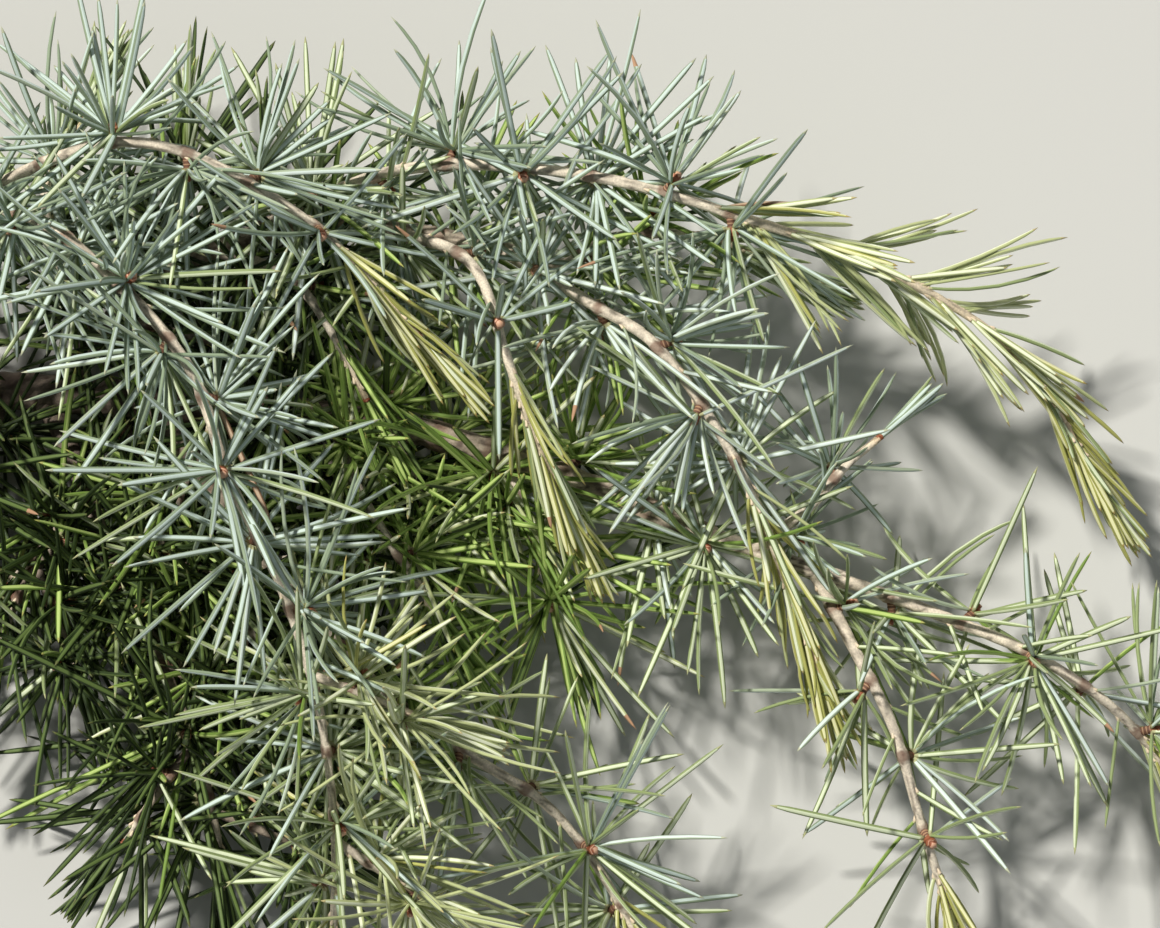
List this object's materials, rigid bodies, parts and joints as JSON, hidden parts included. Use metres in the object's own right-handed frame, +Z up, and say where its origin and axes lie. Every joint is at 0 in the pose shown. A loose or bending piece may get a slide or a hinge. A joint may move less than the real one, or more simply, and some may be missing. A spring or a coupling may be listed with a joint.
{
  "type": "cedar branch",
  "caption": "Cut branch of a weeping cedar lying flat: a bent stem with a sawn end, side boughs and drooping leafy twigs set with whorls of blue-green needles.",
  "frame": {"origin": "middle of the space that the branch takes, on the ground that it lies on", "axes": "+X from the sawn end to the tip of the leading twig, +Y across the branch, +Z up from the ground"},
  "size_m": [0.311, 0.2258, 0.1124],
  "materials": {
    "bark": "matt, cracked bark",
    "foliage": "waxy needles",
    "young_foliage": "soft new needles"
  },
  "bodies": {
    "root": {"centre_twig_1": "foliage", "centre_twig_2": "young_foliage", "corner_twig_1": "foliage", "crest_bough": "bark", "crest_bough_spur_1": "foliage", "crest_twig_1": "foliage", "crest_twig_2": "young_foliage", "drooping_twig_1": "young_foliage", "fork_twig_1": "foliage", "fork_twig_2": "young_foliage", "inner_left_twig_1": "foliage", "inner_twig_1": "foliage", "leading_twig_1": "foliage", "leading_twig_2": "young_foliage", "left_twig_1": "foliage", "long_twig_1": "foliage", "long_twig_2": "foliage", "long_twig_3": "young_foliage", "lower_bough": "bark", "lower_bough_spur_1": "foliage", "lower_twig_1": "foliage", "lower_twig_2": "foliage", "main_stem": "bark", "main_stem_spur_1": "foliage", "main_stem_spur_2": "foliage", "main_stem_spur_3": "foliage", "main_stem_spur_4": "foliage", "main_stem_spur_5": "foliage", "main_stem_spur_6": "foliage", "main_stem_spur_7": "foliage", "main_stem_spur_8": "foliage", "middle_twig_1": "foliage", "shade_bough": "bark", "shade_bough_spur_1": "foliage", "shade_twig_1": "foliage", "side_twig_1": "foliage", "under_twig_1": "foliage", "upper_bough": "bark", "upper_bough_spur_1": "foliage", "upper_bough_spur_2": "foliage", "upper_bough_spur_3": "foliage", "upper_tip_1": "foliage", "weeping_twig_1": "foliage", "weeping_twig_2": "foliage", "weeping_twig_3": "foliage", "weeping_twig_4": "foliage"}
  },
  "joints": []
}
